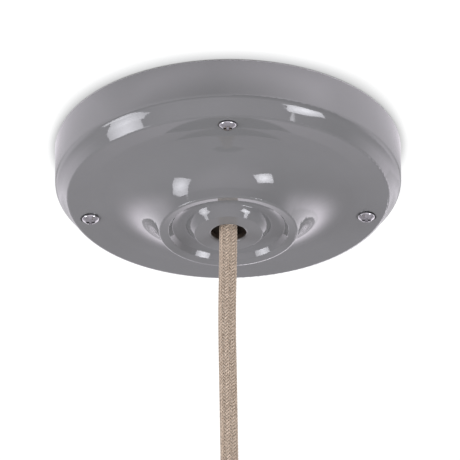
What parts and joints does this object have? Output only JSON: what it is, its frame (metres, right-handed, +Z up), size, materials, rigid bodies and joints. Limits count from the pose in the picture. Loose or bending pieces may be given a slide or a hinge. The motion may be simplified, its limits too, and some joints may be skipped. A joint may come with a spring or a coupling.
{
  "type": "electrical ceiling rose",
  "caption": "Round glazed ceramic ceiling rose with a trumpet boss, back plate and terminals, and a braided flex down to a pendant lampholder.",
  "frame": {"origin": "centre of the ceiling plane, midway between the two ceiling slots of the back plate", "axes": "+Z up into the ceiling, the flex hangs along -Z, -Y towards the front cover screw, +X along the ceiling slots"},
  "size_m": [0.14, 0.14, 0.21],
  "materials": {
    "blue_insulation": "extruded",
    "braid": "braided natural linen yarn",
    "brass": "machined",
    "brown_insulation": "extruded",
    "clear_nylon": "moulded nylon",
    "earth_insulation": "extruded, green and yellow",
    "glaze": "glossy mid-grey glaze",
    "insert_ceramic": "unglazed white",
    "plate_steel": "zinc-plated sheet",
    "screw_steel": "bright zinc plate",
    "white_moulding": "moulded"
  },
  "bodies": {
    "root": {"back_plate": "plate_steel", "block_screw_1": "screw_steel", "block_screw_2": "screw_steel", "cord_retainer": "clear_nylon", "cover_pillar_1": "plate_steel", "cover_pillar_2": "plate_steel", "cover_pillar_3": "plate_steel", "cover_screw_1": "screw_steel", "cover_screw_2": "screw_steel", "cover_screw_3": "screw_steel", "earth_core": "earth_insulation", "earth_screw": "brass", "earth_tag": "brass", "earth_washer": "screw_steel", "flex": "braid", "holder_body": "glaze", "holder_cap": "glaze", "holder_insert": "insert_ceramic", "lamp_centre_contact": "brass", "lamp_socket_shell": "brass", "live_core": "brown_insulation", "neutral_core": "blue_insulation", "retainer_screw": "clear_nylon", "rose_cover": "glaze", "terminal_block": "white_moulding", "terminal_screw_1": "brass", "terminal_screw_2": "brass", "terminal_screw_3": "brass", "terminal_screw_4": "brass", "terminal_screw_5": "brass", "terminal_screw_6": "brass", "terminal_tube_1": "brass", "terminal_tube_2": "brass", "terminal_tube_3": "brass"}
  },
  "joints": []
}
